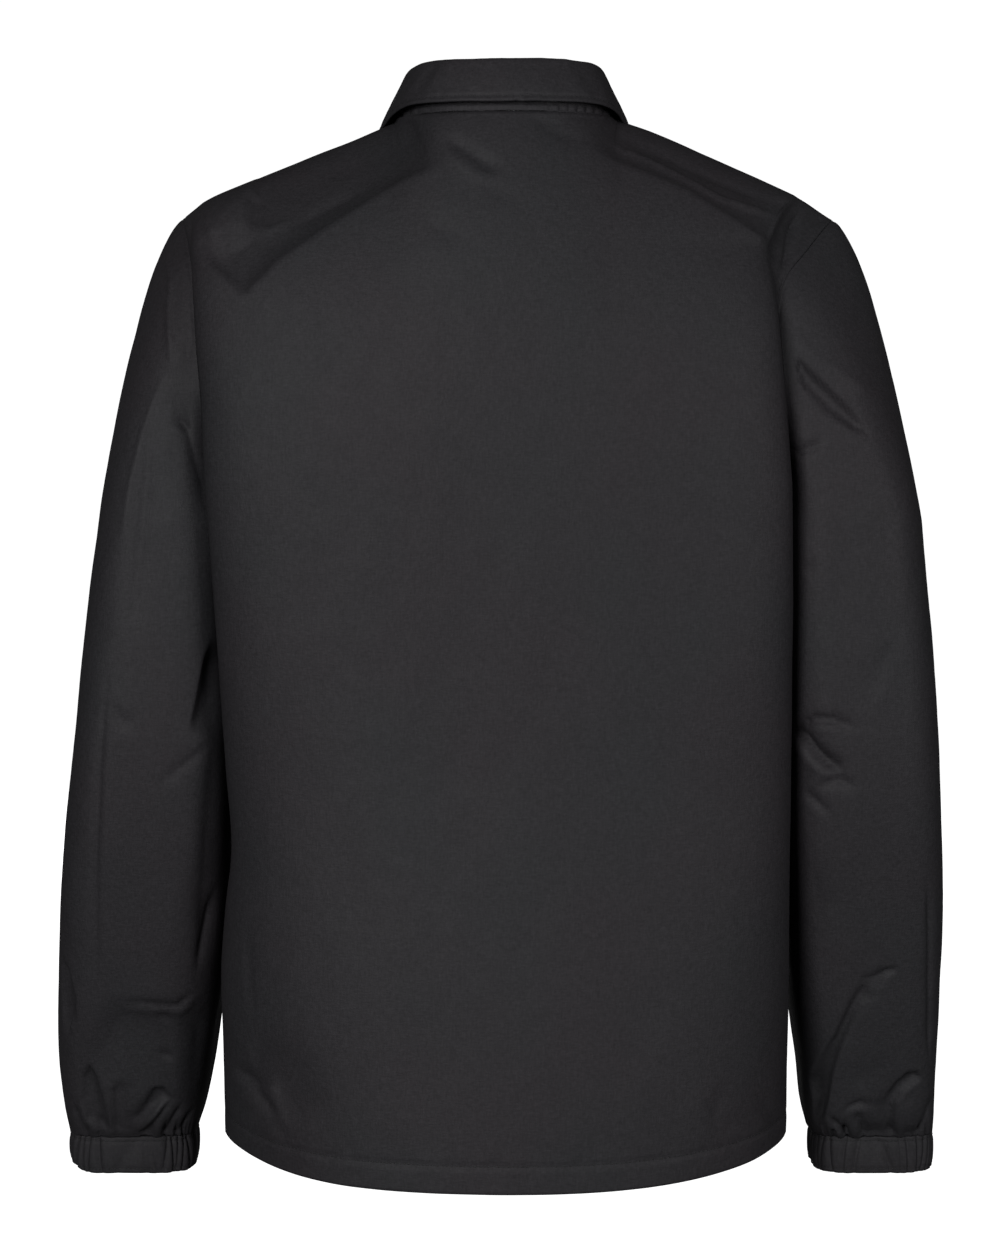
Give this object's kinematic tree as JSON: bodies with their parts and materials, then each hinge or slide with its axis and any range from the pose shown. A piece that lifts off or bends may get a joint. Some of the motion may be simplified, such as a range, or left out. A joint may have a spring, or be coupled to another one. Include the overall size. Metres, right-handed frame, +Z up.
{
  "type": "coach jacket",
  "caption": "Lightweight shell jacket, filled out as if worn, with a turned-down collar, snap front, set-in sleeves and gathered elastic cuffs.",
  "frame": {"origin": "middle of the neck opening, at the height where the neck meets the shoulders", "axes": "+Z up; +Y towards the back of the jacket; +X to the wearer's left"},
  "size_m": [0.6276, 0.277, 0.7707],
  "materials": {
    "shell": "fine plain weave nylon taffeta with faint slubs and a soft sheen",
    "cuff": "the same nylon, gathered over elastic",
    "snap": "satin black enamel"
  },
  "bodies": {
    "root": {"back_panel": "shell", "front_left": "shell", "front_right": "shell", "sleeve_left": "shell", "sleeve_right": "shell", "collar_stand": "shell", "collar_leaf": "shell", "cuff_left": "cuff", "cuff_right": "cuff", "snap_1": "snap", "snap_2": "snap", "snap_3": "snap", "snap_4": "snap", "snap_5": "snap", "snap_6": "snap"}
  },
  "joints": []
}
